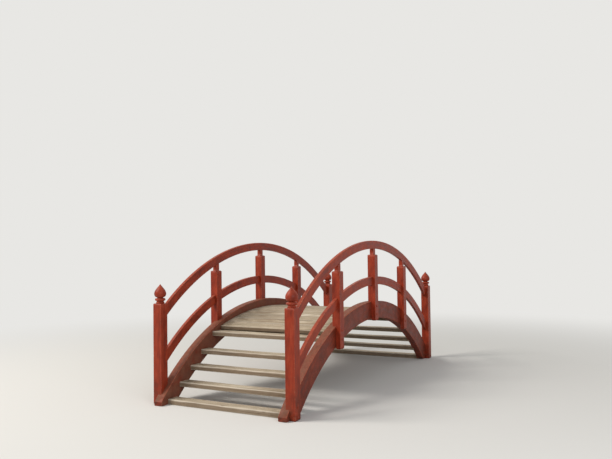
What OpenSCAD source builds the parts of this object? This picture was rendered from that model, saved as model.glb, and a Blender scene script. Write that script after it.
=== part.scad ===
// Moon bridge of painted timber with a weathered plank deck and open steps.
// X runs along the bridge, +Y is its left side, Z is up and z = 0 is the ground.

/* [Plan] */
// Distance from the middle of the bridge to the centre of an end post
newel_x = 1880; // [1800:10:2000]
// Distance from the middle of the bridge to the centre of a side post
post_x = 930; // [880:10:980]
// Distance from the long centreline to the centre of the posts
post_y = 762; // [720:1:900]

/* [Stringers] */
// Height of the top edge at the middle of the bridge
stringer_crown = 920; // [900:5:940]
// Height of the top edge at the centre of an end post
stringer_low = 150; // [130:5:170]
// Depth of the curved beam, square to its curve
stringer_depth = 195; // [185:5:205]
// Thickness of the curved beam
stringer_t = 90; // [80:5:95]
// How far the beam's middle stands inside the line of the posts
stringer_inset = 52; // [50:1:56]
// Distance from the middle of the bridge to the plumb cut at the beam's toe
toe_x = 1985; // [1970:5:2000]

/* [Rails] */
// Height of the handrail's top edge at the middle of the bridge
handrail_crown = 1615; // [1590:5:1640]
// Height of the handrail's top edge at the centre of an end post
handrail_low = 924; // [915:1:930]
// Height of the middle rail's top edge at the middle of the bridge
midrail_crown = 1204; // [1180:2:1230]
// Height of the middle rail's top edge at the centre of an end post
midrail_low = 456; // [440:2:470]
// Depth of both rails, square to their curve
rail_depth = 92; // [80:2:100]
// Thickness of both rails
rail_t = 36; // [30:2:44]
// Radius of the handrail's two upper edges
hand_round = 8; // [4:1:12]
// Length of the tenon at each end of a rail
tenon = 40; // [30:5:45]

/* [Posts] */
// Width of an end post
newel_w = 100; // [100:2:110]
// Height of an end post
newel_h = 1000; // [990:5:1020]
// Size of the chamfer round the head of an end post
newel_chamfer = 6; // [3:1:8]
// Width of a side post
post_w = 90; // [88:1:94]
// Height of the neck between a side post's shoulder and the handrail
neck_h = 68; // [60:2:80]
// Width of the neck along the bridge
neck_w = 56; // [46:2:62]
// Width of the neck across the bridge
neck_t = 46; // [38:2:56]
// Size of the chamfer round a side post's shoulder
shoulder_chamfer = 8; // [3:1:10]
// Length of a side post's foot below the stringer
foot_drop = 20; // [10:5:30]
// Size of the chamfer round a side post's foot
foot_chamfer = 8; // [4:1:10]

/* [Finials] */
// Height of the turned finial above the end post
finial_h = 196; // [180:2:210]
// Diameter of the finial's bulb
bulb_d = 120; // [110:2:124]
// Diameter of the finial's ring
ring_d = 106; // [96:2:108]
// Diameter of the finial's neck
finial_neck_d = 62; // [52:2:66]
// Diameter of the finial's base disc
base_d = 84; // [76:2:90]

/* [Treads] */
// Distance from the middle of the bridge to the front of the lowest tread
tread_x = 1885; // [1880:1:1890]
// Going from one tread to the next
going = 181; // [179:1:183]
// Height of the lowest tread's top
tread_first = 53; // [50:1:54]
// Height from one tread to the next
rise = 140; // [138:1:141]
// Distance from the middle of the bridge to the front of the top tread, which ends the deck
top_tread_x = 1139; // [1136:1:1142]
// Height of the top tread
top_tread_z = 642; // [638:1:644]
// Depth of a tread, from front to back
tread_depth = 140; // [130:5:140]
// Thickness of a tread
tread_t = 50; // [44:1:50]
// Radius of a tread's upper front edge
nosing = 10; // [4:1:14]
// How deep a tread's end is let into the stringer
housing = 18; // [12:1:24]

/* [Deck] */
// Height of the deck's top at the middle of the bridge
deck_crown = 833; // [828:1:838]
// Height of the deck's top at its two ends
deck_low = 685; // [683:1:688]
// Distance from the middle of the bridge to the end of the deck
deck_x = 995; // [990:1:998]
// Number of deck boards
board_count = 14; // [12:1:14]
// Width of a deck board
board_w = 140; // [120:2:140]
// Thickness of a deck board
board_t = 40; // [36:1:42]
// Gap between a board's end and the stringer
board_gap = 2; // [1:1:4]

/* [Bearers] */
// Width of a bearer under the board ends
ledger_w = 40; // [36:2:50]
// Depth of a bearer
ledger_depth = 50; // [44:2:52]
// Width of a cross tie along the bridge
tie_w = 90; // [70:5:100]
// Depth of a cross tie
tie_depth = 60; // [50:5:62]

/* [Hidden] */
$fn = 360;
PAINT = "firebrick";
TIMBER = "tan";
ENDS = ["near", "far"];
SIDES = ["left", "right"];
PLACES = ["near", "middle", "far"];
// Steps of equal rise at each end, below the top tread
EVEN_STEPS = 4;
TREADS = [1:EVEN_STEPS + 1];

function two_digits(n) = str(n < 10 ? "0" : "", n);
function board_name(i) = str("deck_board_", two_digits(i + 1));

// Radius of the arc that rises from low, half a span away, to the crown
function arc_r(half, low, crown) = (half * half + (crown - low) * (crown - low)) / (2 * (crown - low));
// Height of an arc at x
function arc_z(r, crown, x) = crown - r + sqrt(r * r - x * x);

stringer_r = arc_r(newel_x, stringer_low, stringer_crown);
handrail_r = arc_r(newel_x, handrail_low, handrail_crown);
midrail_r = arc_r(newel_x, midrail_low, midrail_crown);
deck_r = arc_r(deck_x, deck_low, deck_crown);

stringer_y = post_y - stringer_inset;
stringer_inner = stringer_y - stringer_t / 2;
rail_end = newel_x - newel_w / 2 + tenon;
tread_half = stringer_inner + housing;
board_half = stringer_inner - board_gap;
deck_bed_r = deck_r - board_t;
deck_centre = deck_crown - deck_r;
// Angle that the deck spans at its bed, and from one board to the next
deck_half_angle = asin(deck_x / deck_r) - atan(board_w / 2 / deck_r);
board_step = 2 * deck_half_angle / (board_count - 1);
tie_angle = asin(post_x / deck_bed_r);
// Where the bulb is widest, as a share of its height, and how hollow its flank is above that
belly = 0.27;
flank = 1.25;

function end_sign(e) = e == "near" ? -1 : 1;
function side_sign(s) = s == "left" ? 1 : -1;
function place_sign(p) = p == "near" ? -1 : p == "far" ? 1 : 0;

// Points of an arc round c, from angle a0 to a1 in n steps
function arc_points(c, r, a0, a1, n) =
    [for (i = [0:n]) let (a = a0 + (a1 - a0) * i / n) [c[0] + r * cos(a), c[1] + r * sin(a)]];

// A curved member on edge: r and crown give its top edge, depth runs square to the curve
module arched(r, crown, depth, t, half, y) {
    translate([0, y + t / 2, crown - r])
        rotate([90, 0, 0])
            linear_extrude(t)
                intersection() {
                    difference() {
                        circle(r);
                        circle(r - depth);
                    }
                    translate([-half, r - crown])
                        square([2 * half, crown + 1]);
                }
}

module stringer_beam(s) {
    arched(stringer_r, stringer_crown, stringer_depth, stringer_t, toe_x, side_sign(s) * stringer_y);
}

// The handrail's board, or a thicker one on the same arc
module handrail_board(s, t) {
    arched(handrail_r, handrail_crown, rail_depth, t, rail_end, side_sign(s) * post_y);
}

// The handrail as it is shaped: its board inside a ring that has the rounded upper edges
module handrail_bar(s) {
    low_edge = handrail_r - 2 * rail_depth;
    high_edge = handrail_r - hand_round;
    half_flat = rail_t / 2 - hand_round;
    ring = concat(
        [[low_edge, rail_t / 2], [low_edge, -rail_t / 2]],
        arc_points([high_edge, -half_flat], hand_round, -90, 0, 5),
        arc_points([high_edge, half_flat], hand_round, 0, 90, 5)
    );
    intersection() {
        handrail_board(s, rail_t);
        translate([0, side_sign(s) * post_y, handrail_crown - handrail_r])
            rotate([90, 0, 0])
                rotate_extrude()
                    polygon(ring);
    }
}

module midrail_bar(s) {
    arched(midrail_r, midrail_crown, rail_depth, rail_t, rail_end, side_sign(s) * post_y);
}

// Half lap: a post loses what stands inside the stringer's outer face, from its top edge down
module lap(s) {
    translate([0, side_sign(s) * stringer_y + stringer_t / 2, stringer_crown - stringer_r])
        rotate([90, 0, 0])
            cylinder(h = stringer_t, r = stringer_r);
}

// Treads run from 1, which lies on the ground, to the top one at the end of the deck
module tread(e, i) {
    is_top = i > EVEN_STEPS;
    front = is_top ? top_tread_x : tread_x - (i - 1) * going;
    top = is_top ? top_tread_z : tread_first + (i - 1) * rise;
    under = i == 1 ? 0 : top - tread_t;
    outline = concat(
        [[front - tread_depth, top], [front - tread_depth, under], [front, under]],
        arc_points([front - nosing, top - nosing], nosing, 0, 90, 5)
    );
    color(TIMBER)
        rotate([0, 0, e == "near" ? 180 : 0])
            translate([0, tread_half, 0])
                rotate([90, 0, 0])
                    linear_extrude(2 * tread_half)
                        polygon(outline);
}

module stringer(s) {
    color(PAINT)
        difference() {
            stringer_beam(s);
            for (e = ENDS, i = TREADS) tread(e, i);
        }
}

module handrail(s) {
    color(PAINT) handrail_bar(s);
}

module midrail(s) {
    color(PAINT) midrail_bar(s);
}

// Square timber with a chamfer round its upper end, from its foot at z = 0
module chamfered_post(w, h, c) {
    half = w / 2;
    outline = [[-half, 0], [half, 0], [half, h - c], [half - c, h], [c - half, h], [-half, h - c]];
    intersection() {
        translate([0, half, 0]) rotate([90, 0, 0]) linear_extrude(w) polygon(outline);
        translate([-half, 0, 0]) rotate([90, 0, 90]) linear_extrude(w) polygon(outline);
    }
}

module newel(e, s) {
    color(PAINT)
        difference() {
            translate([end_sign(e) * newel_x, side_sign(s) * post_y, 0])
                chamfered_post(newel_w, newel_h, newel_chamfer);
            lap(s);
            handrail_bar(s);
            midrail_bar(s);
        }
}

module post(s, p) {
    x = place_sign(p) * post_x;
    neck_top = arc_z(handrail_r - rail_depth, handrail_crown - rail_depth, x);
    shoulder = neck_top - neck_h;
    under_crown = stringer_crown - stringer_depth;
    foot = arc_z(stringer_r - stringer_depth, under_crown, abs(x) + post_w / 2) - foot_drop;
    color(PAINT)
        difference() {
            translate([x, side_sign(s) * post_y, 0]) {
                intersection() {
                    chamfered_post(post_w, shoulder, shoulder_chamfer);
                    translate([0, 0, shoulder])
                        mirror([0, 0, 1])
                            chamfered_post(post_w, shoulder - foot, foot_chamfer);
                }
                translate([-neck_w / 2, -neck_t / 2, foot + foot_chamfer])
                    cube([neck_w, neck_t, neck_top + rail_depth / 2 - foot - foot_chamfer]);
            }
            lap(s);
            handrail_board(s, post_w);
            midrail_bar(s);
        }
}

// Radius of the bulb at height t, from 0 at its neck to 1 at the tip: a round belly below its
// widest part, then a flank that turns hollow as it draws out to a point
function onion(t) =
    t < belly ? finial_neck_d / 2 + (bulb_d - finial_neck_d) / 2 * sqrt(1 - pow(1 - t / belly, 2))
    : bulb_d / 2 * pow(cos(90 * (t - belly) / (1 - belly)), flank);

module finial(e, s) {
    disc_h = 14;
    disc_round = 4;
    groove_h = 12;
    groove_depth = 16;
    groove_r = ring_d / 2 - groove_depth;
    ring_h = 26;
    neck_rise = 8;
    bulb_steps = 30;
    ring_z = disc_h + groove_h;
    bulb_z = ring_z + ring_h + neck_rise;
    outline = concat(
        [[0, 0], [base_d / 2, 0]],
        arc_points([base_d / 2 - disc_round, disc_h - disc_round], disc_round, 0, 90, 4),
        [[groove_r, disc_h], [groove_r, ring_z]],
        arc_points([ring_d / 2 - ring_h / 2, ring_z + ring_h / 2], ring_h / 2, -90, 90, 12),
        [[finial_neck_d / 2, ring_z + ring_h]],
        [for (i = [0:bulb_steps]) [onion(i / bulb_steps), bulb_z + (finial_h - bulb_z) * i / bulb_steps]]
    );
    color(PAINT)
        translate([end_sign(e) * newel_x, side_sign(s) * post_y, newel_h])
            rotate_extrude()
                polygon(outline);
}

// Turns what stands at the top of the deck's arc down along it by angle a
module along_deck(a) {
    translate([0, 0, deck_centre]) rotate([0, a, 0]) children();
}

module deck_board(i) {
    color(TIMBER)
        along_deck(-deck_half_angle + i * board_step)
            translate([-board_w / 2, -board_half, deck_bed_r])
                cube([board_w, 2 * board_half, board_t]);
}

module tie_bar(p) {
    along_deck(place_sign(p) * tie_angle)
        translate([-tie_w / 2, -stringer_inner, deck_bed_r - tie_depth])
            cube([tie_w, 2 * stringer_inner, tie_depth]);
}

module cross_tie(p) {
    color(TIMBER) tie_bar(p);
}

// A bearer is in two lengths, each from the middle of one tie to the next, less the ties themselves
module ledger(s) {
    color(TIMBER)
        difference() {
            arched(deck_bed_r, deck_crown - board_t, ledger_depth, ledger_w, post_x,
                   side_sign(s) * (stringer_inner - ledger_w / 2));
            for (p = PLACES) tie_bar(p);
        }
}

for (s = SIDES) {
    stringer(s);
    handrail(s);
    midrail(s);
    ledger(s);
    for (p = PLACES)
        post(s, p);
}
for (e = ENDS, s = SIDES) {
    newel(e, s);
    finial(e, s);
}
for (e = ENDS, i = TREADS)
    tread(e, i);
for (i = [0:board_count - 1])
    deck_board(i);
for (p = PLACES)
    cross_tie(p);
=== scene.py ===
# Moon bridge of painted softwood: two arched stringers carry open treads and a boarded deck between
# curved rails. Lengths are in metres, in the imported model's own frame.
import math
import random
from functools import partial

import bmesh
import bpy
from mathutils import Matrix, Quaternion, Vector, noise


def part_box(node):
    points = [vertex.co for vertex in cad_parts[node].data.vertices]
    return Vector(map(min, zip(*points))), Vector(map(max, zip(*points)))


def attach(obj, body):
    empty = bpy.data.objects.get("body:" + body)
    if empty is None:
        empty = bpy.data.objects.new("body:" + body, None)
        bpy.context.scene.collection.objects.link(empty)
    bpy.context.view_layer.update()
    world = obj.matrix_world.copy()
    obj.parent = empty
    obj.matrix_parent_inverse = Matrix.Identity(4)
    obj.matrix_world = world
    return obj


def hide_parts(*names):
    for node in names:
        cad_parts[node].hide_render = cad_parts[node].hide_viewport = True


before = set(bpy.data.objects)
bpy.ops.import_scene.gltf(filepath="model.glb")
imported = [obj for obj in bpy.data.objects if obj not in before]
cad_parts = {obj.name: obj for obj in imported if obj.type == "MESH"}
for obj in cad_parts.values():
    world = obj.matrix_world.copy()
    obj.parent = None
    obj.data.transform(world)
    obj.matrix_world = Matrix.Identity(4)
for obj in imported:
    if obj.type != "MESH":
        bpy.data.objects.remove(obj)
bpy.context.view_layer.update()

# The stringers
# Two curved beams of softwood, cut to an arc, planed and painted with an oxide-red gloss. Feet and
# rain have left the paint dull and brown on their inner faces, and rubbed pale along the arrises.
half_span = (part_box("newel_far_left")[0].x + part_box("newel_far_left")[1].x) / 2
stringer_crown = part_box("stringer_left")[1].z
stringer_low = 0.15
stringer_depth = 0.195
stringer_arris = 0.004
toe_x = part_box("stringer_left")[1].x
# Each side's sign in Y
SIDES = {"left": 1, "right": -1}


def linear(hex_colour):
    """An sRGB hex colour as linear red, green, blue and an alpha of 1."""
    channels = [int(hex_colour[i : i + 2], 16) / 255 for i in (1, 3, 5)]
    return [c / 12.92 if c <= 0.04045 else ((c + 0.055) / 1.055) ** 2.4 for c in channels] + [1.0]


def socket(sockets, key=None):
    """A node's socket by its number, or the first in use that has a name, or the first in use."""
    if isinstance(key, int):
        return sockets[key]
    return next(s for s in sockets if s.enabled and key in (None, s.name))


def add_node(tree, kind, settings=(), links=()):
    """Adds a shader node. Settings are its properties, its inputs or its ramp, with colours in hex,
    and links feed its inputs from other nodes, or from (node, output)."""
    made = tree.nodes.new("ShaderNode" + kind)
    for key, value in dict(settings).items():
        if key == "ramp":
            while len(made.color_ramp.elements) < len(value):
                made.color_ramp.elements.new(0.5)
            for element, (at, colour) in zip(made.color_ramp.elements, value):
                element.position = at
                element.color = linear(colour)
        elif isinstance(key, str) and hasattr(made, key):
            setattr(made, key, value)
        else:
            value = linear(value) if isinstance(value, str) else value
            socket(made.inputs, key).default_value = value
    for key, link in dict(links).items():
        source, output = link if isinstance(link, tuple) else (link, None)
        tree.links.new(socket(source.outputs, output), socket(made.inputs, key))
    return made


def new_material(name):
    """An empty material, and add_node for its tree."""
    material = bpy.data.materials.new(name)
    material.use_nodes = True
    material.node_tree.nodes.clear()
    return material, partial(add_node, material.node_tree)


MULTIPLY = {"data_type": "RGBA", "blend_type": "MULTIPLY", "Factor": 1.0}


def oxide_gloss_paint(name, body, deep, faded, chalk_and_sunlight, grime, grime_share, trodden=0.0):
    """Brushed gloss on planed softwood: the grain telegraphs through it, faces that look up are
    lightened, partly by sun chalking and partly as painted sunlight, and arrises rub through to pale
    primer and bare wood. Grime browns it near the ground, rain draws it out in streaks, and trodden is
    the share of a brown film that feet leave on what faces the walkway."""
    mud, primer, bare_wood = "#7b503d", "#b0543d", "#a88a6c"
    paint, add = new_material(name)
    grain = (add("Attribute", {"attribute_name": "grain"}), "Vector")
    wear = (add("Attribute", {"attribute_name": "wear"}), "Fac")
    geometry = add("NewGeometry")
    position = (geometry, "Position")
    spot = add("SeparateXYZ", {}, {"Vector": position})
    facing = add("SeparateXYZ", {}, {"Vector": (geometry, "Normal")})

    # Broad patches of tone, some 150 mm long and 50 mm wide
    patch_scale = add("Mapping", {"Scale": (6.5, 20, 20)}, {"Vector": grain})
    patches = add("TexNoise", {"Scale": 1, "Detail": 5, "Roughness": 0.6}, {"Vector": patch_scale})
    tone = add("ValToRGB", {"ramp": ((0.3, deep), (0.52, body), (0.74, faded))}, {"Fac": patches})

    # Grain lines about 4 mm apart, drawn a little coarser than the real 2 mm so that they show
    line_scale = add("Mapping", {"Scale": (7, 240, 240)}, {"Vector": grain})
    lines = add("TexNoise", {"Scale": 1, "Detail": 3, "Roughness": 0.55}, {"Vector": line_scale})
    line_tone = add("MapRange", {"From Min": 0.25, "From Max": 0.7, "To Min": 0.8, "To Max": 1.06},
                    {"Value": lines})
    grained = add("Mix", MULTIPLY, {"A": tone, "B": line_tone})

    # Faces that look up are lightened in spots some 25 mm wide: partly sun chalking, partly painted
    # sunlight
    upward_chalk_and_sunlight = add("MapRange", {"From Min": 0.45, "From Max": 1.0, "To Max": 0.55},
                 {"Value": (facing, "Z")})
    chalk_noise = add("TexNoise", {"Scale": 38, "Detail": 6, "Roughness": 0.65}, {"Vector": grain})
    chalk = add("MapRange", {"From Min": 0.35, "From Max": 0.65}, {"Value": chalk_noise})
    chalk_and_sunlight_share = add("Math", {"operation": "MULTIPLY"}, {0: upward_chalk_and_sunlight, 1: chalk})
    chalked_and_sunlit = add("Mix", {"data_type": "RGBA", "B": chalk_and_sunlight}, {"Factor": chalk_and_sunlight_share, "A": grained})

    # Rain streaks some 30 mm wide, drawn out down upright faces
    streak_scale = add("Mapping", {"Scale": (34, 34, 1.6)}, {"Vector": position})
    streaks = add("TexNoise", {"Scale": 1, "Detail": 3, "Roughness": 0.5}, {"Vector": streak_scale})
    streak_tone = add("MapRange", {"From Min": 0.45, "From Max": 0.68, "To Min": 1.02, "To Max": 0.86},
                      {"Value": streaks})
    streaked = add("Mix", MULTIPLY, {"A": chalked_and_sunlit, "B": streak_tone})

    # Grime in spots some 70 mm wide, splashed up to 350 mm above the ground and thin above it
    splash = add("MapRange", {"From Min": 0.0, "From Max": 0.35, "To Min": 0.75, "To Max": grime_share},
                 {"Value": (spot, "Z")})
    grime_noise = add("TexNoise", {"Scale": 14, "Detail": 7, "Roughness": 0.7}, {"Vector": position})
    grime_spots = add("MapRange", {"From Min": 0.38, "From Max": 0.62}, {"Value": grime_noise})
    grimed_share = add("Math", {"operation": "MULTIPLY"}, {0: splash, 1: grime_spots})
    grimed = add("Mix", {"data_type": "RGBA", "B": grime}, {"Factor": grimed_share, "A": streaked})

    # Dried mud where shoes tread or brush past, on faces that look up or inwards. A face looks inwards
    # where its normal points back at the long centreline
    across = add("Math", {"operation": "MULTIPLY"}, {0: (spot, "Y"), 1: (facing, "Y")})
    inwards = add("MapRange", {"From Min": -0.15, "From Max": -0.5}, {"Value": across})
    upwards = add("MapRange", {"From Min": 0.3, "From Max": 0.7, "To Max": 0.75},
                  {"Value": (facing, "Z")})
    walked = add("Math", {"operation": "MAXIMUM"}, {0: inwards, 1: upwards})
    film_noise = add("TexNoise", {"Scale": 12, "Detail": 8, "Roughness": 0.72}, {"Vector": position})
    film = add("MapRange",
               {"From Min": 0.36, "From Max": 0.6, "To Min": 0.2 * trodden, "To Max": trodden},
               {"Value": film_noise})
    film_share = add("Math", {"operation": "MULTIPLY"}, {0: walked, 1: film})
    filmed = add("Mix", {"data_type": "RGBA", "B": mud}, {"Factor": film_share, "A": grimed})

    # Arrises rubbed to primer, and to bare wood where they are worn most
    rub_noise = add("TexNoise", {"Scale": 60, "Detail": 5, "Roughness": 0.7}, {"Vector": grain})
    rub = add("Math", {"operation": "MULTIPLY"}, {0: wear, 1: rub_noise})
    primer_share = add("MapRange", {"From Min": 0.3, "From Max": 0.46, "To Max": 0.75}, {"Value": rub})
    primed = add("Mix", {"data_type": "RGBA", "B": primer}, {"Factor": primer_share, "A": filmed})
    bare_share = add("MapRange", {"From Min": 0.56, "From Max": 0.6}, {"Value": rub})
    coloured = add("Mix", {"data_type": "RGBA", "B": bare_wood}, {"Factor": bare_share, "A": primed})

    # Grime, mud and rubbing dull the gloss. Brush marks a millimetre wide stand up in it, and so does
    # the grain
    gloss = add("MapRange", {"From Min": 0.3, "From Max": 0.7, "To Min": 0.3, "To Max": 0.5},
                {"Value": patches})
    dulled = add("Math", {"operation": "MULTIPLY_ADD", 1: 0.35}, {0: grimed_share, 2: gloss})
    muddied = add("Math", {"operation": "MULTIPLY_ADD", 1: 0.3}, {0: film_share, 2: dulled})
    rubbed = add("Math", {"operation": "MULTIPLY_ADD", 1: 0.25}, {0: primer_share, 2: muddied})
    brush_scale = add("Mapping", {"Scale": (25, 900, 900)}, {"Vector": grain})
    brush = add("TexNoise", {"Scale": 1, "Detail": 2}, {"Vector": brush_scale})
    ridges = add("Math", {"operation": "MULTIPLY_ADD", 1: 0.3}, {0: brush, 2: lines})
    relief = add("Bump", {"Strength": 0.5, "Distance": 0.0012}, {"Height": ridges})
    shader = add("BsdfPrincipled", {"IOR": 1.5, "Specular IOR Level": 0.22},
                 {"Base Color": coloured, "Roughness": rubbed, "Normal": relief})
    add("OutputMaterial", {}, {"Surface": shader})
    return paint


# The corners of a timber's section, each at the end of the side whose normal has the same number
CORNERS = ((1, 1), (-1, 1), (-1, -1), (1, -1))
NORMALS = ((1, 0), (0, 1), (-1, 0), (0, -1))
ARRIS_STEPS = 3
# The share of a side's flat that is rubbed along with the arris beside it
RUBBED_SHARE = 0.06
# A drying check has a point at its root, one at each lip, and a guard point beyond each lip, which
# holds the face flat. Plain points and other checks keep clear of it.
CHECK_POINTS = (-2, -1, 0, 1, 2)
CLOSED_LIP = 0.0002
GUARD_STEP = 0.001
PLAIN_CLEARANCE = 0.005
CHECK_CLEARANCE = 0.007
CHECK_WANDER = 0.0016
# The ripple that saw and plane leave, in waves per metre along the timber and across it
BROAD_WAVES = (2.2, 9)
FINE_WAVES = (9, 55)


def section_points(half_a, half_b, arris, spacing, checks):
    """The points on each side of a timber's section, as (share of its flat, check, check's point)."""
    # The outermost points hold the flat true beside its arrises
    hold = 0.0025
    sides = []
    for side in range(4):
        flat = 2 * (half_b if side % 2 == 0 else half_a) - 2 * arris
        count = max(1, round((flat - 2 * hold) / spacing))
        found = [((hold + (flat - 2 * hold) * i / count) / flat, None, 0) for i in range(count + 1)]
        for check in checks:
            share = check["share"]
            is_clear = all(f[1] is None or abs(f[0] - share) * flat > CHECK_CLEARANCE for f in found)
            if check["side"] == side and is_clear:
                found = [f for f in found if f[1] or abs(f[0] - share) * flat > PLAIN_CLEARANCE]
                found += [(share, check, point) for point in CHECK_POINTS]
        sides.append(sorted(found, key=lambda f: (f[0], f[2])))
    return sides


def check_opening(check, at):
    """How far a check stands open at a station, from 0 to 1: most in its middle, or where it splits
    the timber's end."""
    run = (at - check["start"]) / (check["end"] - check["start"])
    if check.get("split"):
        return max(0.0, 1 - run) ** 0.6 if run >= 0 else 1.0
    return math.sin(math.pi * run) ** 0.7 if 0 < run < 1 else 0.0


def waviness(seed, along, a, b, waves):
    """Noise from -1 to 1 at a point of a timber, with its waves per metre along and across."""
    return noise.noise(seed + Vector((along * waves[0], a * waves[1], b * waves[1])))


def skin(vertices, count, grain, wear):
    """A shape round rings of count points each, one ring after another, with both ends cut flat."""
    faces = [
        (k + i, k + (i + 1) % count, k + count + (i + 1) % count, k + count + i)
        for k in range(0, len(vertices) - count, count)
        for i in range(count)
    ]
    ends = [tuple(reversed(range(count))), tuple(range(len(vertices) - count, len(vertices)))]
    return {"vertices": vertices, "grain": grain, "wear": wear, "faces": faces, "cut_ends": ends}


def timber(name, stations, section_at, arris=0.003, spacing=0.018, checks=(), ripple=0.0004,
           ease=0.002, head_ease=None, hollow=None):
    """A piece of timber along its stations: section_at gives (centre, a, b, half_a, half_b, radii of
    the four arrises), and its sides are numbered from +a round to -b.

    Each check is a drying crack on one side, as a dict of side, share, start, end, width and depth,
    and splits the end where it starts if split is true. hollow gives how deep a point (along, a, b)
    is worn, and ease is the size of the chamfer round each end, or head_ease round the last. The
    points across each side are spaced for arrises of the radius arris.
    """
    seed = Vector([random.Random(name + axis).uniform(-40, 40) for axis in "xyz"])
    # Grain counts from the heart of the log, up to 50 mm to the side and 35 to 120 mm above or below
    pick = random.Random(name + "heart")
    heart = (pick.uniform(-0.05, 0.05), pick.choice((-1, 1)) * pick.uniform(0.035, 0.12))
    half_a, half_b = section_at(stations[0])[3:5]
    points = section_points(half_a, half_b, arris, spacing, checks)
    head_ease = ease if head_ease is None else head_ease
    last = len(stations) + 1
    vertices, grain, wear = [], [], []

    def put(a, b, out_a, out_b, worn, deep=0.0):
        """Adds a point (a, b) of the section at hand, pushed in by ripple, check and wear against its
        outward direction."""
        broad = waviness(seed, at, a, b, BROAD_WAVES)
        fine = waviness(seed, at, a, b, FINE_WAVES)
        drop = ripple * (1 + 0.7 * broad + 0.3 * fine) + deep
        if hollow and k not in (0, last):
            drop += hollow(at, a, b)
        vertices.append(centre + a_dir * (a - out_a * drop) + b_dir * (b - out_b * drop))
        grain.append((at + seed.x, a + heart[0], b + heart[1]))
        wear.append(worn)

    for k, station in enumerate([stations[0], *stations, stations[-1]]):
        # Both ends are chamfered: the outermost section is drawn in, and its neighbour stands back
        inset = {0: ease, last: head_ease}.get(k, 0.0)
        at = station + {1: ease, last - 1: -head_ease}.get(k, 0.0)
        centre, a_dir, b_dir, half_a, half_b, radii = section_at(at)
        half_a, half_b = half_a - inset, half_b - inset
        for side in range(4):
            # A side's flat runs from one arris to the next, each with its own radius
            from_a, from_b = CORNERS[side - 1]
            to_a, to_b = CORNERS[side]
            out_a, out_b = NORMALS[side]
            r = radii[side]
            start = Vector((from_a * half_a, from_b * half_b))
            end = Vector((to_a * half_a, to_b * half_b))
            run = (end - start).normalized()
            start, end = start + run * radii[side - 1], end - run * r
            for share, check, point in points[side]:
                deep, shift = 0.0, 0.0
                if check:
                    opening = check_opening(check, at)
                    lip = CLOSED_LIP + check["width"] / 2 * opening
                    shift = point * (GUARD_STEP if abs(point) == 2 else lip)
                    shift += CHECK_WANDER * noise.noise(seed + Vector((at * 6, share * 50, 0)))
                    deep = check["depth"] * opening if point == 0 else 0.0
                p = start + (end - start) * share + run * shift
                is_rubbed = share < RUBBED_SHARE or share > 1 - RUBBED_SHARE
                put(p.x, p.y, out_a, out_b, 0.35 if is_rubbed else 0.0, deep)
            middle = Vector((to_a * (half_a - r), to_b * (half_b - r)))
            for i in range(ARRIS_STEPS + 1):
                angle = math.atan2(out_b, out_a) + math.pi / 2 * i / ARRIS_STEPS
                cos, sin = math.cos(angle), math.sin(angle)
                worn = 0.6 if i in (0, ARRIS_STEPS) else 1.0
                put(middle.x + r * cos, middle.y + r * sin, cos, sin, worn)
    return skin(vertices, len(vertices) // (last + 1), grain, wear)


def build(name, shapes):
    """One object from several shapes: its points carry grain and wear, and its cut ends are flat."""
    vertices, grain, wear, faces, cut_ends = [], [], [], [], []
    for shape in shapes:
        first = len(vertices)
        vertices += [tuple(v) for v in shape["vertices"]]
        grain += shape["grain"]
        wear += shape["wear"]
        faces += [tuple(i + first for i in face) for face in shape["faces"]]
        cut_ends += [tuple(i + first for i in face) for face in shape["cut_ends"]]
    mesh = bpy.data.meshes.new(name)
    mesh.from_pydata(vertices, [], faces + cut_ends)
    flat_grain = [c for g in grain for c in g]
    mesh.attributes.new("grain", "FLOAT_VECTOR", "POINT").data.foreach_set("vector", flat_grain)
    mesh.attributes.new("wear", "FLOAT", "POINT").data.foreach_set("value", wear)
    mesh.polygons.foreach_set("use_smooth", [True] * len(faces) + [False] * len(cut_ends))
    tidy = bmesh.new()
    tidy.from_mesh(mesh)
    bmesh.ops.recalc_face_normals(tidy, faces=tidy.faces)
    cut_faces = [face for face in tidy.faces if len(face.verts) > 4]
    bmesh.ops.triangulate(tidy, faces=cut_faces, ngon_method="BEAUTY")
    tidy.to_mesh(mesh)
    tidy.free()
    mesh.validate()
    piece = bpy.data.objects.new(name, mesh)
    bpy.context.scene.collection.objects.link(piece)
    return piece


def dress(piece, material, slot, *nodes):
    """Gives a piece its material and its body, and hides the nodes that it stands for. Its slot is not
    used.
    """
    piece.data.materials.append(material)
    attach(piece, "root")
    if nodes:
        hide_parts(*nodes)


def drying_checks(name, sides, count, start, end, width, depth):
    """A few drying cracks at random places along the given sides of a timber, well apart on each."""
    pick = random.Random(name)
    # As shares of the side. No check is over 600 mm long
    clear_of_arris, apart = 0.2, 0.22
    found = []
    for side in sides:
        taken = []
        for _ in range(count):
            share = pick.uniform(clear_of_arris, 1 - clear_of_arris)
            if any(abs(share - other) < apart for other in taken):
                continue
            taken.append(share)
            length = min((end - start) * pick.uniform(0.12, 0.4), pick.uniform(0.2, 0.6))
            at = pick.uniform(start, end - length)
            found.append({"side": side, "share": share, "start": at, "end": at + length,
                          "width": width * pick.uniform(0.6, 1.2),
                          "depth": depth * pick.uniform(0.6, 1.2)})
    return found


def spread(start, end, step):
    """Stations from start to end, about a step apart."""
    count = max(1, round((end - start) / step))
    return [start + (end - start) * i / count for i in range(count + 1)]


class Arc:
    """A circular arc over the bridge that rises from low, at the end posts, to its crown."""

    def __init__(self, low, crown, half=half_span):
        rise = crown - low
        self.radius = (half * half + rise * rise) / (2 * rise)
        self.centre = crown - self.radius

    def point(self, angle, depth=0.0, y=0.0):
        """The point at an angle from the crown, depth below the arc."""
        reach = self.radius - depth
        return Vector((reach * math.sin(angle), y, self.centre + reach * math.cos(angle)))

    def height(self, x, depth=0.0):
        """The height of the arc at x, or of the one depth below it."""
        return self.centre + math.sqrt((self.radius - depth) ** 2 - x * x)

    def angle(self, x):
        """The angle from the crown of the arc's point at x."""
        return math.asin(x / self.radius)


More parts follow.
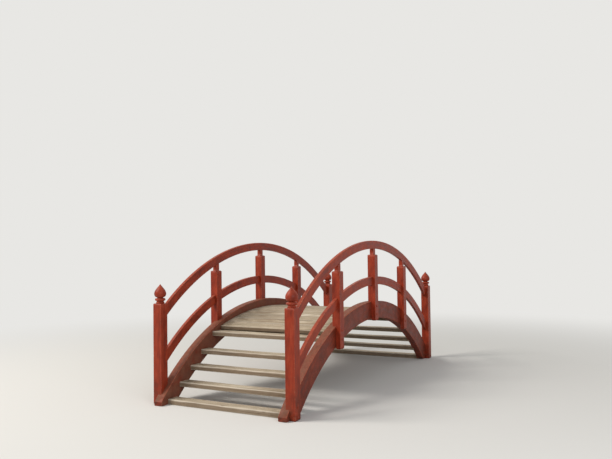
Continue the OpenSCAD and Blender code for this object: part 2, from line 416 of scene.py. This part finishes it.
Y = Vector((0, 1, 0))
stringer_arc = Arc(stringer_low, stringer_crown)
toe_angle = stringer_arc.angle(toe_x)
# Where the lower edge meets the ground, and the beam starts to thin towards its toe
heel_angle = math.acos(-stringer_arc.centre / (stringer_arc.radius - stringer_depth))
heel_x = (stringer_arc.radius - stringer_depth) * math.sin(heel_angle)


def stringer_section(y_low, y_high):
    """Sections of a stringer from y_low to y_high, by the distance along its upper arc."""

    def section_at(s):
        angle = s / stringer_arc.radius
        top, low = stringer_arc.point(angle), stringer_arc.point(angle, stringer_depth)
        if abs(angle) > heel_angle:
            past = (abs(angle) - heel_angle) / (toe_angle - heel_angle)
            low = Vector((math.copysign(heel_x + (toe_x - heel_x) * past, angle), 0, 0))
        centre = (top + low) / 2 + Y * (y_low + y_high) / 2
        up = top - low
        return centre, Y, up.normalized(), (y_high - y_low) / 2, up.length / 2, [stringer_arris] * 4

    return section_at


stringer_paint = oxide_gloss_paint("oxide_gloss_paint_scuffed", body="#7e301d", deep="#5e2517",
                                   faded="#913f29", chalk_and_sunlight="#a56e54", grime="#4a2f22",
                                   grime_share=0.4, trodden=0.85)
for side in SIDES:
    node = f"stringer_{side}"
    low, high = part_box(node)
    half_length = toe_angle * stringer_arc.radius
    checks = drying_checks(node, (0, 2), count=4, start=-1.7, end=1.7, width=0.0016, depth=0.006)
    beam = timber(node, spread(-half_length, half_length, step=0.03), stringer_section(low.y, high.y),
                  arris=stringer_arris, checks=checks, ripple=0.0005)
    dress(build(f"{node}_beam", [beam]), stringer_paint, "painted_timber", node)

# The end posts
# Square softwood newels that stand on the ground, half lapped over the outer faces of the stringers.
# Their heads are chamfered by hand, and drying checks open down their faces through the gloss.
ENDS = ("near", "far")
rail_paint = oxide_gloss_paint("oxide_gloss_paint_sound", body="#95331b", deep="#742514",
                               faded="#a54227", chalk_and_sunlight="#b5644a", grime="#4f3022", grime_share=0.14)
newel_w = 0.1
newel_chamfer = 0.006
# The lap's shoulder, out of sight inside the stringer
newel_lap = 0.05
post_arris = 0.003
post_step = 0.025
X = Vector((1, 0, 0))
stringer_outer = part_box("stringer_left")[1].y


def upright_section(x, y, half, lap_height):
    """Sections of a post at x, y: below lap_height only its part outside the stringer is left."""
    lapped = (abs(y) + half - stringer_outer) / 2

    def section_at(z):
        if z < lap_height:
            outside = math.copysign(stringer_outer + lapped, y)
            return Vector((x, outside, z)), Y, X, lapped, half, [post_arris] * 4
        return Vector((x, y, z)), Y, X, half, half, [post_arris] * 4

    return section_at


def stations_with_cuts(start, end, step, *cuts):
    """Stations a step apart, with a pair a tenth of a millimetre apart where the section is cut."""
    clear, half_gap = 0.004, 0.00005
    found = spread(start, end, step)
    for at in cuts:
        found = [f for f in found if abs(f - at) > clear] + [at - half_gap, at + half_gap]
    return sorted(found)


for end in ENDS:
    for side, sign in SIDES.items():
        node = f"newel_{end}_{side}"
        low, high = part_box(node)
        middle_y = max(low.y, high.y, key=abs) - sign * newel_w / 2
        section = upright_section((low.x + high.x) / 2, middle_y, newel_w / 2, newel_lap)
        checks = drying_checks(node, range(4), count=2, start=0.12, end=0.96, width=0.0018,
                               depth=0.008)
        post = timber(node, stations_with_cuts(low.z, high.z, post_step, newel_lap), section,
                      arris=post_arris, checks=checks, ease=newel_chamfer)
        dress(build(f"{node}_timber", [post]), rail_paint, "painted_timber", node)

# The finials
# Onion-shaped caps turned from softwood, doweled into the newel heads and painted with them: a base
# disc, a groove, a rounded ring, a short neck and a bulb whose flank turns hollow up to its point.
finial_low, finial_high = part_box("finial_near_left")
bulb_r = (finial_high.y - finial_low.y) / 2
base_r = 0.042
disc_h = 0.014
disc_side_h = 0.009
disc_round = 0.004
groove_r = 0.037
groove_h = 0.012
groove_slope = 0.002
ring_r = 0.053
ring_h = 0.026
ring_z = disc_h + groove_h
neck_r = 0.031
neck_flare = 0.001
neck_flare_h = 0.003
neck_rise = 0.008
bulb_steps = 40
bulb_belly = 0.27
tip_r = 0.0008
tip_h = 0.012


def arc_points(r, z, radius, start, end, steps):
    """Points (r, z) of an arc round r, z, with angles in degrees."""
    angles = [math.radians(start + (end - start) * i / steps) for i in range(steps + 1)]
    return [(r + radius * math.cos(a), z + radius * math.sin(a)) for a in angles]


def bulb_outline(base, top):
    """The bulb's outline from neck to tip: a round belly, then a flank that draws in to a point."""
    outline = []
    for i in range(bulb_steps + 1):
        t = (i / bulb_steps) ** 1.2
        if t < bulb_belly:
            r = neck_r + (bulb_r - neck_r) * math.sqrt(1 - (1 - t / bulb_belly) ** 2)
        else:
            r = bulb_r * math.cos(math.pi / 2 * (t - bulb_belly) / (1 - bulb_belly)) ** 1.25
        outline.append((max(r, tip_r), base + (top - base) * t))
    return outline


def turned(name, centre, outline):
    """A piece turned on a lathe about a vertical axis, with an upright drying check down its belly."""
    turns = 56
    pick = random.Random(name)
    split = pick.uniform(0, 2 * math.pi)
    seed = Vector([pick.uniform(-40, 40) for _ in "xyz"])

    def off_split(angle):
        """How far an angle is from the check's."""
        return abs((angle - split + math.pi) % (2 * math.pi) - math.pi)

    lip, guard = 0.009, 0.045
    even = [2 * math.pi * i / turns for i in range(turns)]
    check_angles = [(split + off) % (2 * math.pi) for off in (-guard, -lip, 0.0, lip, guard)]
    angles = sorted([a for a in even if off_split(a) > 2 * guard] + check_angles)
    top = outline[-1][1]
    check_low, check_high, check_depth = 0.07, top - 0.03, 0.004
    ripple, crest_height = 0.0004, 0.0002
    vertices, grain, wear = [], [], []
    for k, (r, z) in enumerate(outline):
        before, after = outline[max(k - 1, 0)], outline[min(k + 1, len(outline) - 1)]
        is_crest = r > max(before[0], after[0]) + crest_height
        for angle in angles:
            cos, sin = math.cos(angle), math.sin(angle)
            drop = ripple * (1 + noise.noise(seed + Vector((cos, sin, z * 30)) * 2))
            if off_split(angle) < lip / 2 and check_low < z < check_high:
                drop += check_depth * math.sin(math.pi * (z - check_low) / (check_high - check_low))
            reach = max(r - drop, tip_r / 2)
            vertices.append(centre + Vector((reach * cos, reach * sin, z)))
            grain.append((z + seed.x, reach * cos + seed.y, reach * sin + seed.z))
            wear.append(0.9 if is_crest or z > top - tip_h else 0.3 if r > 0.9 * bulb_r else 0.0)
    return skin(vertices, len(angles), grain, wear)


finial_outline = [
    (base_r, 0.0),
    (base_r, disc_side_h),
    *arc_points(base_r - disc_round, disc_h - disc_round, disc_round, 0, 90, 4),
    (groove_r, disc_h + groove_slope),
    (groove_r, ring_z - groove_slope),
    *arc_points(ring_r - ring_h / 2, ring_z + ring_h / 2, ring_h / 2, -80, 80, 10),
    (neck_r + neck_flare, ring_z + ring_h),
    (neck_r, ring_z + ring_h + neck_flare_h),
    *bulb_outline(ring_z + ring_h + neck_rise, finial_high.z - finial_low.z),
]
for end in ENDS:
    for side in SIDES:
        node = f"finial_{end}_{side}"
        low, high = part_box(node)
        axis = Vector(((low.x + high.x) / 2, (low.y + high.y) / 2, low.z))
        cap = turned(node, axis, finial_outline)
        dress(build(f"{node}_cap", [cap]), rail_paint, "painted_finial", node)

# The side posts
# Shorter softwood posts, half lapped over the stringers and bolted to them. Each is cut to a
# chamfered shoulder at its head, and a neck rises from it to carry the handrail, cut to its curve.
neck_half_along = 0.028
neck_half_across = 0.023
neck_h = 0.068
neck_arris = 0.002
neck_ease = 0.0003
shoulder_chamfer = 0.008
foot_chamfer = 0.008
rail_depth = 0.092
handrail_arc = Arc(low=0.924, crown=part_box("handrail_left")[1].z)
Z = Vector((0, 0, 1))
# Each place's sign in X
PLACES = {"near": -1, "middle": 0, "far": 1}
for side in SIDES:
    for place in PLACES:
        node = f"post_{side}_{place}"
        low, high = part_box(node)
        x, y = (low.x + high.x) / 2, (low.y + high.y) / 2
        neck_top = handrail_arc.height(x, rail_depth)
        rail_slope = -x / (neck_top - handrail_arc.centre)
        shoulder = neck_top - neck_h
        lap_middle = stringer_arc.height(x, stringer_depth / 2)
        body_at = upright_section(x, y, (high.y - low.y) / 2, lap_middle)

        def post_section(z):
            if z < shoulder:
                centre, a_dir, b_dir, half_a, half_b, radii = body_at(z)
                cut = max(0.0, z - shoulder + shoulder_chamfer)
                return centre, a_dir, b_dir, half_a - cut, half_b - cut, radii
            lean = X + Z * rail_slope * (z - shoulder) / neck_h
            return Vector((x, y, z)), Y, lean, neck_half_across, neck_half_along, [neck_arris] * 4

        stations = stations_with_cuts(low.z, neck_top, post_step, lap_middle, shoulder)
        checks = drying_checks(node, range(4), count=2, start=low.z + 0.1, end=shoulder - 0.02,
                               width=0.0016, depth=0.007)
        post = timber(node, sorted(stations + [shoulder - shoulder_chamfer]), post_section,
                      arris=post_arris, checks=checks, ease=foot_chamfer, head_ease=neck_ease)
        dress(build(f"{node}_timber", [post]), rail_paint, "painted_timber", node)

# The rails
# Curved boards on edge, sawn to the arc: the middle rail runs through the posts, and the handrail
# rests on their necks. Years of hands have rounded the upper arrises of the handrail.
midrail_arc = Arc(low=0.456, crown=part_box("midrail_left")[1].z)
handrail_round = 0.008
midrail_round = 0.004
rail_low_round = 0.003


def tilted(angle):
    """Directions along and square to an arc at an angle from its crown."""
    cos, sin = math.cos(angle), math.sin(angle)
    return Vector((cos, 0, -sin)), Vector((sin, 0, cos))


def rail_section(arc, y, half_t, top_round):
    """Sections of a rail whose upper edge follows an arc, by the distance along it."""

    def section_at(s):
        angle = s / arc.radius
        radii = [top_round, top_round, rail_low_round, rail_low_round]
        return arc.point(angle, rail_depth / 2, y), Y, tilted(angle)[1], half_t, rail_depth / 2, radii

    return section_at


for kind, arc, top_round in (("handrail", handrail_arc, handrail_round),
                             ("midrail", midrail_arc, midrail_round)):
    for side in SIDES:
        node = f"{kind}_{side}"
        low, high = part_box(node)
        half_length = arc.angle(high.x) * arc.radius
        section = rail_section(arc, (low.y + high.y) / 2, (high.y - low.y) / 2, top_round)
        checks = drying_checks(node, (0, 2), count=3, start=-1.9, end=1.9, width=0.0012, depth=0.004)
        bar = timber(node, spread(-half_length, half_length, step=0.03), section, arris=0.005,
                     checks=checks, ripple=0.0003)
        dress(build(f"{node}_board", [bar]), rail_paint, "painted_timber", node)

# The treads
# Thick softwood planks let into the stringers and screwed from outside. Years of feet and rain have
# taken the surface back to raised grey grain, rounded the nosings and dished the middle.
STEPS = range(1, 6)


def weathered_softwood(name, silver, pale, mid, dark, damp, stain):
    """Bare softwood gone grey outdoors: soft wood worn dark and hollow between hard silver lines."""
    knot, brown = "#5d4631", "#6a5541"
    wood, add = new_material(name)
    grain = (add("Attribute", {"attribute_name": "grain"}), "Vector")
    wear = (add("Attribute", {"attribute_name": "wear"}), "Fac")
    geometry = add("NewGeometry")
    position = (geometry, "Position")

    # Grain lines wander by some 8 mm over half a metre
    drift_scale = add("Mapping", {"Scale": (1.4, 7, 7)}, {"Vector": grain})
    drift = add("TexNoise", {"Scale": 1, "Detail": 2}, {"Vector": drift_scale})
    drifted = add("VectorMath", {"operation": "MULTIPLY_ADD", 1: (0, 0.04, 0.04)},
                  {0: (drift, "Color"), 2: grain})
    # Growth rings some 4 mm apart round the heart, which a sawn face cuts into lines and tongues
    from_heart = add("VectorMath", {"operation": "MULTIPLY", 1: (0, 1, 1)}, {0: drifted})
    ring_radius = add("VectorMath", {"operation": "LENGTH"}, {0: from_heart})
    along = add("SeparateXYZ", {}, {"Vector": grain})
    ring_place = add("CombineXYZ", {}, {"X": (along, "X"), "Y": ring_radius})
    ring_scale = add("Mapping", {"Scale": (1.1, 280, 1)}, {"Vector": ring_place})
    rings = add("TexNoise", {"Scale": 1, "Detail": 3, "Roughness": 0.6}, {"Vector": ring_scale})
    tone = add("ValToRGB", {"ramp": ((0.28, dark), (0.42, mid), (0.56, pale), (0.72, silver))},
               {"Fac": rings})
    # Fibres about 1 mm wide
    fibre_scale = add("Mapping", {"Scale": (22, 950, 950)}, {"Vector": drifted})
    fibres = add("TexNoise", {"Scale": 1, "Detail": 2}, {"Vector": fibre_scale})
    fibre_tone = add("MapRange", {"From Min": 0.3, "From Max": 0.7, "To Min": 0.82, "To Max": 1.08},
                     {"Value": fibres})
    fibrous = add("Mix", MULTIPLY, {"A": tone, "B": fibre_tone})

    # Each plank has its own tone, with stains from rain and wet feet, a hand or two across
    broad_scale = add("Mapping", {"Scale": (1.6, 5, 5)}, {"Vector": grain})
    broad = add("TexNoise", {"Scale": 1, "Detail": 4, "Roughness": 0.6}, {"Vector": broad_scale})
    stain_share = add("MapRange", {"From Min": 0.42, "From Max": 0.72, "To Max": 0.6}, {"Value": broad})
    stained = add("Mix", {"data_type": "RGBA", "B": stain}, {"Factor": stain_share, "A": fibrous})

    # Knots some 20 mm across and 40 mm long, about one to each two metres of a face
    knot_scale = add("Mapping", {"Scale": (3.2, 6, 6)}, {"Vector": drifted})
    knots = add("TexVoronoi", {"Scale": 1}, {"Vector": knot_scale})
    knot_share = add("MapRange", {"From Min": 0.1, "From Max": 0.045, "To Max": 0.85},
                     {"Value": (knots, "Distance")})
    knotted = add("Mix", {"data_type": "RGBA", "B": knot}, {"Factor": knot_share, "A": stained})

    # Damp and green towards the ends of each board, where feet don't reach
    spot = add("SeparateXYZ", {}, {"Vector": position})
    off_centre = add("Math", {"operation": "ABSOLUTE"}, {0: (spot, "Y")})
    ends = add("MapRange", {"From Min": 0.25, "From Max": 0.68, "To Min": 0.12, "To Max": 0.8},
               {"Value": off_centre})
    blotches = add("TexNoise", {"Scale": 11, "Detail": 6, "Roughness": 0.65}, {"Vector": position})
    blotch = add("MapRange", {"From Min": 0.42, "From Max": 0.66}, {"Value": blotches})
    damp_share = add("Math", {"operation": "MULTIPLY"}, {0: ends, 1: blotch})
    dampened = add("Mix", {"data_type": "RGBA", "B": damp}, {"Factor": damp_share, "A": knotted})

    # Faces that don't look up keep more brown weathering and get painted shade, darker the further they
    # turn from up, and arrises are bleached
    facing = add("SeparateXYZ", {}, {"Vector": (geometry, "Normal")})
    brown_and_shade_share = add("MapRange", {"From Min": 0.2, "From Max": 0.9, "To Min": 0.68, "To Max": 0.0},
                      {"Value": (facing, "Z")})
    browned_and_shaded = add("Mix", {"data_type": "RGBA", "B": brown}, {"Factor": brown_and_shade_share, "A": dampened})
    bleach = add("Math", {"operation": "MULTIPLY", 1: 0.45}, {0: wear})
    bleached = add("Mix", {"data_type": "RGBA", "B": silver}, {"Factor": bleach, "A": browned_and_shaded})

    # Hard lines and fibres stand proud, and are rougher than the soft wood between them
    ridges = add("Math", {"operation": "MULTIPLY_ADD", 1: 0.25}, {0: fibres, 2: rings})
    relief = add("Bump", {"Strength": 0.8, "Distance": 0.003}, {"Height": ridges})
    roughness = add("MapRange", {"To Min": 0.72, "To Max": 0.92}, {"Value": rings})
    shader = add("BsdfPrincipled", {"IOR": 1.45, "Specular IOR Level": 0.35},
                 {"Base Color": bleached, "Roughness": roughness, "Normal": relief})
    add("OutputMaterial", {}, {"Surface": shader})
    return wood


def end_splits(name, length):
    """Splits in the upper and lower face, from both ends of a board whose middle is at 0."""
    pick = random.Random(name + "splits")
    found = []
    for end_at in (-length / 2, length / 2):
        for side in (1, 3):
            reach = pick.uniform(0.06, 0.22)
            found.append({"side": side, "share": pick.uniform(0.2, 0.8), "start": end_at,
                          "end": end_at - math.copysign(reach, end_at),
                          "width": pick.uniform(0.001, 0.0025), "depth": pick.uniform(0.006, 0.014),
                          "split": True})
    return found


def foot_wear(name, half_b, dish):
    """Wear on the upper face: dished where people walk, with soft grain worn out between hard lines."""
    seed = random.Random(name + "wear").uniform(-50, 50)
    path_half, scoop_depth, upper_share = 0.28, 0.0016, 0.6

    def worn(along, a, b):
        if b < half_b * upper_share:
            return 0.0
        scoop = max(0.0, noise.noise(Vector((along * 1.6, a * 34, seed))))
        return dish * math.exp(-((along / path_half) ** 2)) + scoop_depth * scoop

    return worn


tread_wood = weathered_softwood("weathered_softwood_treads", silver="#ddd5c6", pale="#cabda6",
                                mid="#a6947c", dark="#6d5a48", damp="#6f6450", stain="#8b7863")
nosing_round = 0.01
back_round = 0.005
tread_low_round = 0.004
for end in ENDS:
    for step in STEPS:
        node = f"tread_{end}_{step}"
        low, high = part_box(node)
        centre, half = (low + high) / 2, (high - low) / 2
        seed = random.Random(node).uniform(-50, 50)

        def tread_section(y):
            nosing = nosing_round * (1 + 0.55 * noise.noise(Vector((y * 7, seed, 0))))
            far_round, near_round = (back_round, nosing) if end == "near" else (nosing, back_round)
            radii = [far_round, near_round, tread_low_round, tread_low_round]
            return Vector((centre.x, y, centre.z)), X, Z, half.x, half.z, radii

        # Checks on top and in the nosing
        checks = drying_checks(node, (1, 0 if end == "far" else 2), count=3, start=low.y, end=high.y,
                               width=0.002, depth=0.009)
        plank = timber(node, spread(low.y, high.y, step=0.016), tread_section, arris=0.01,
                       spacing=0.009, checks=checks + end_splits(node, high.y - low.y),
                       ripple=0.0008, hollow=foot_wear(node, half.z, dish=0.0028))
        dress(build(f"{node}_plank", [plank]), tread_wood, "bare_timber", node)

# The deck
# Softwood boards laid across on an arc flatter than the stringers', with gaps for the rain, and
# nailed to the bearers under their ends. Feet have worn them, and they are as grey as the treads.
BOARDS = range(1, 15)
deck_wood = weathered_softwood("weathered_softwood_deck", silver="#dad1c1", pale="#c5b79f",
                               mid="#a08e76", dark="#6a5745", damp="#6b604c", stain="#86725c")
board_w = 0.14
board_t = 0.04
board_radii = [0.004, 0.004, 0.003, 0.003]
board_skew = 0.0008
deck_arc = Arc(low=0.685, crown=0.833, half=0.995)


def board_angle(node):
    """A board's angle from the crown of the deck's arc."""
    low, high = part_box(node)
    return math.asin((low.x + high.x) / 2 / (deck_arc.radius - board_t / 2))


for number in BOARDS:
    node = f"deck_board_{number:02d}"
    low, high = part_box(node)
    angle = board_angle(node)
    along, up = tilted(angle)
    skew = random.Random(node).uniform(-board_skew, board_skew)

    def board_section(y):
        centre = deck_arc.point(angle, board_t / 2, y) + along * skew * y
        return centre, along, up, board_w / 2, board_t / 2, board_radii

    checks = drying_checks(node, (1,), count=3, start=low.y, end=high.y, width=0.002, depth=0.008)
    board = timber(node, spread(low.y, high.y, step=0.018), board_section, arris=0.004, spacing=0.009,
                   checks=checks + end_splits(node, high.y - low.y), ripple=0.0008,
                   hollow=foot_wear(node, board_t / 2, dish=0.0015))
    dress(build(f"{node}_plank", [board]), deck_wood, "bare_timber", node)

# The bearers and ties
# Sawn softwood under the deck: three ties across between the stringers, and curved bearers nailed
# along their inner faces between the ties. Rough from the saw, brown and out of the weather.
bearer_wood = weathered_softwood("sawn_softwood_bearers", silver="#8f7c63", pale="#7d6950",
                                 mid="#6a573f", dark="#4c3c2b", damp="#4f4835", stain="#5e4c38")
tie_depth = 0.06
tie_w = 0.09
tie_arris = 0.003
post_x = (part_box("post_left_far")[0].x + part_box("post_left_far")[1].x) / 2
bed_radius = deck_arc.radius - board_t
tie_angle = math.asin(post_x / bed_radius)
for place, where in PLACES.items():
    node = f"cross_tie_{place}"
    low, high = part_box(node)
    along, up = tilted(where * tie_angle)

    def tie_section(y):
        centre = deck_arc.point(where * tie_angle, board_t + tie_depth / 2, y)
        return centre, along, up, tie_w / 2, tie_depth / 2, [tie_arris] * 4

    checks = drying_checks(node, (0, 2, 3), count=2, start=low.y, end=high.y, width=0.0015,
                           depth=0.006)
    tie = timber(node, spread(low.y, high.y, step=0.03), tie_section, arris=tie_arris, checks=checks,
                 ripple=0.0009)
    dress(build(f"{node}_beam", [tie]), bearer_wood, "bearer_timber", node)

ledger_depth = 0.05
ledger_arris = 0.002
inner, outer = tie_w / 2, tie_angle * bed_radius - tie_w / 2
for side in SIDES:
    node = f"ledger_{side}"
    low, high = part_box(node)

    def ledger_section(s):
        angle = s / bed_radius
        centre = deck_arc.point(angle, board_t + ledger_depth / 2, (low.y + high.y) / 2)
        return centre, Y, tilted(angle)[1], (high.y - low.y) / 2, ledger_depth / 2, [ledger_arris] * 4

    lengths = [
        timber(f"{node}{where}", spread(*run, step=0.03), ledger_section, ripple=0.0007)
        for where, run in ((-1, (-outer, -inner)), (1, (inner, outer)))
    ]
    dress(build(f"{node}_bearers", lengths), bearer_wood, "bearer_timber", node)

# The fixings
# Domed coach bolts through the laps, painted over with the posts, timber plugs over the screws that
# hold the tread ends, and steel nails, two at each end of a deck board, that have rusted brown.
bolt_r = 0.014
bolt_h = 0.006
bolt_half_gap = 0.045
lowest_bolts = 0.075
plug_r = 0.009
plug_h = 0.0008
plug_places = (0.3, 0.7)
nail_r = 0.0045
nail_h = 0.0012
nail_half_gap = 0.04
nail_stray = 0.004
# Nails sit in the board's worn face, a little below its arc
nail_sunk = 0.0008


def dome(centre, axis, radius, height, turns=16, rings=4):
    """A low domed head that stands height proud of its face, and is sunk a little into it."""
    side_a = axis.orthogonal().normalized()
    side_b = axis.cross(side_a)
    flat_share, sunk = 0.03, 0.0004
    vertices, grain, wear = [], [], []
    for k in range(rings + 1):
        lift = math.pi / 2 * k / rings
        reach = max(radius * math.cos(lift), radius * flat_share)
        for i in range(turns):
            turn = 2 * math.pi * i / turns
            out = (side_a * math.cos(turn) + side_b * math.sin(turn)) * reach
            vertices.append(centre + out + axis * (height * math.sin(lift) - sunk))
            grain.append(tuple(vertices[-1]))
            wear.append(0.7 if k == 1 else 0.2)
    return skin(vertices, turns, grain, wear)


for side, sign in SIDES.items():
    heads, plugs = [], []
    uprights = [f"post_{side}_{place}" for place in PLACES] + [f"newel_{end}_{side}" for end in ENDS]
    for node in uprights:
        low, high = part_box(node)
        x = (low.x + high.x) / 2
        middle = max(stringer_arc.height(x, stringer_depth / 2), lowest_bolts)
        for height in (middle - bolt_half_gap, middle + bolt_half_gap):
            spot = Vector((x, max(low.y, high.y, key=abs), height))
            heads.append(dome(spot, Y * sign, bolt_r, bolt_h))
    for end in ENDS:
        for step in STEPS:
            low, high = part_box(f"tread_{end}_{step}")
            for share in plug_places:
                x = low.x + (high.x - low.x) * share
                spot = Vector((x, sign * stringer_outer, (low.z + high.z) / 2))
                plugs.append(dome(spot, Y * sign, plug_r, plug_h, rings=2))
    dress(build(f"coach_bolts_{side}", heads), rail_paint, "fixings")
    dress(build(f"screw_plugs_{side}", plugs), stringer_paint, "painted_timber")


def rusted_steel(name):
    """Cut steel nails rusted brown: rough scale, a millimetre across, with brighter orange between."""
    steel, add = new_material(name)
    grain = (add("Attribute", {"attribute_name": "grain"}), "Vector")
    scale = add("TexNoise", {"Scale": 900, "Detail": 4}, {"Vector": grain})
    tone = add("ValToRGB", {"ramp": ((0.35, "#2f211a"), (0.55, "#4d3122"), (0.75, "#7a4a2b"))},
               {"Fac": scale})
    relief = add("Bump", {"Strength": 0.5, "Distance": 0.0003}, {"Height": scale})
    shader = add("BsdfPrincipled", {"Roughness": 0.75, "Metallic": 0.35},
                 {"Base Color": tone, "Normal": relief})
    add("OutputMaterial", {}, {"Surface": shader})
    return steel


nails = []
ledger_low, ledger_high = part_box("ledger_left")
nail_y = (ledger_low.y + ledger_high.y) / 2 - nail_stray
for number in BOARDS:
    angle = board_angle(f"deck_board_{number:02d}")
    along, up = tilted(angle)
    pick = random.Random(number)
    for sign in (-1, 1):
        for offset in (-nail_half_gap, nail_half_gap):
            out = nail_y + pick.uniform(-nail_stray, nail_stray)
            spot = deck_arc.point(angle, nail_sunk, sign * out)
            spot += along * (offset + pick.uniform(-nail_stray, nail_stray))
            nails.append(dome(spot, up, nail_r, nail_h, turns=10, rings=2))
dress(build("deck_nails", nails), rusted_steel("rusted_nail_steel"), "fixings")

# The studio
# A pale floor that fades into a pale surround, with one large soft lamp from the upper left of the
# photograph's view, a weaker one from its right, and an even light from all round.
surround = "#e8e7e4"
floor_size = 60
floor_drop = 0.0005


def seen_share(add):
    """Nodes that give 1 to what the camera sees, also reflected or through glass, and 0 to light."""
    rays = add("LightPath")
    bounced = add("Math", {"operation": "MAXIMUM"},
                  {0: (rays, "Is Glossy Ray"), 1: (rays, "Is Transmission Ray")})
    return add("Math", {"operation": "MAXIMUM"}, {0: (rays, "Is Camera Ray"), 1: bounced})


def studio_floor(name):
    """Matt pale floor by the bridge, which turns into the surround's own colour nine metres away."""
    floor, add = new_material(name)
    geometry = add("NewGeometry")
    flat = add("VectorMath", {"operation": "MULTIPLY", 1: (1, 1, 0)}, {0: (geometry, "Position")})
    reach = add("VectorMath", {"operation": "LENGTH"}, {0: flat})
    fade = add("MapRange", {"From Min": 2.6, "From Max": 9.0, "interpolation_type": "SMOOTHSTEP"},
               {"Value": reach})
    share = add("Math", {"operation": "MULTIPLY"}, {0: fade, 1: seen_share(add)})
    matt = add("BsdfDiffuse", {"Color": "#d5d4d1"})
    glow = add("Emission", {"Color": surround, "Strength": 1.0})
    mixed = add("MixShader", {}, {0: share, 1: matt, 2: glow})
    add("OutputMaterial", {}, {"Surface": mixed})
    return floor


floor_mesh = bpy.data.meshes.new("studio_floor")
floor_signs = ((-1, -1), (1, -1), (1, 1), (-1, 1))
floor_corners = [(x * floor_size, y * floor_size, -floor_drop) for x, y in floor_signs]
floor_mesh.from_pydata(floor_corners, [], [(0, 1, 2, 3)])
floor_mesh.materials.append(studio_floor("matt_studio_floor"))
floor_piece = bpy.data.objects.new("studio_floor", floor_mesh)
bpy.context.scene.collection.objects.link(floor_piece)

world = bpy.data.worlds.new("studio_surround")
world.use_nodes = True
world.node_tree.nodes.clear()
bpy.context.scene.world = world
add = partial(add_node, world.node_tree)
even = add("Background", {"Color": "#f4f4f2", "Strength": 0.55})
behind = add("Background", {"Color": surround, "Strength": 1.0})
both = add("MixShader", {}, {0: seen_share(add), 1: even, 2: behind})
add("OutputWorld", {}, {"Surface": both})


bridge_middle = Vector((0, 0, 0.6))


def soft_lamp(name, place, power, size, colour):
    """A square softbox that looks at the middle of the bridge."""
    data = bpy.data.lights.new(name, "AREA")
    data.energy = power
    data.size = size
    data.color = linear(colour)[:3]
    lamp = bpy.data.objects.new(name, data)
    lamp.location = place
    lamp.rotation_mode = "QUATERNION"
    lamp.rotation_quaternion = (bridge_middle - lamp.location).to_track_quat("-Z", "Y")
    bpy.context.scene.collection.objects.link(lamp)


soft_lamp("key_lamp", Vector((-8.0, 8.0, 11.5)), power=1900, size=6.0, colour="#fffaf2")
soft_lamp("fill_lamp", Vector((-7.0, -8.5, 5.0)), power=330, size=6.0, colour="#f2f6ff")

# The camera
# It stands where the photograph was taken: at eye height, some five metres short of the near end
# and nearly four metres to the right of the bridge's long centreline.
camera_place = Vector((-7.091, -3.738, 1.519))
camera_yaw = math.radians(28.434)
camera_pitch = math.radians(1.749)
camera_roll = math.radians(-0.73)
camera_data = bpy.data.cameras.new("camera")
camera_data.sensor_width = 36
camera_data.lens = 39.2
camera = bpy.data.objects.new("camera", camera_data)
level = math.cos(camera_pitch)
look = Vector((level * math.cos(camera_yaw), level * math.sin(camera_yaw), math.sin(camera_pitch)))
camera.rotation_mode = "QUATERNION"
camera.rotation_quaternion = look.to_track_quat("-Z", "Y") @ Quaternion((0, 0, 1), camera_roll)
camera.location = camera_place
bpy.context.scene.collection.objects.link(camera)
bpy.context.scene.camera = camera

bpy.context.scene.view_settings.view_transform = "Standard"
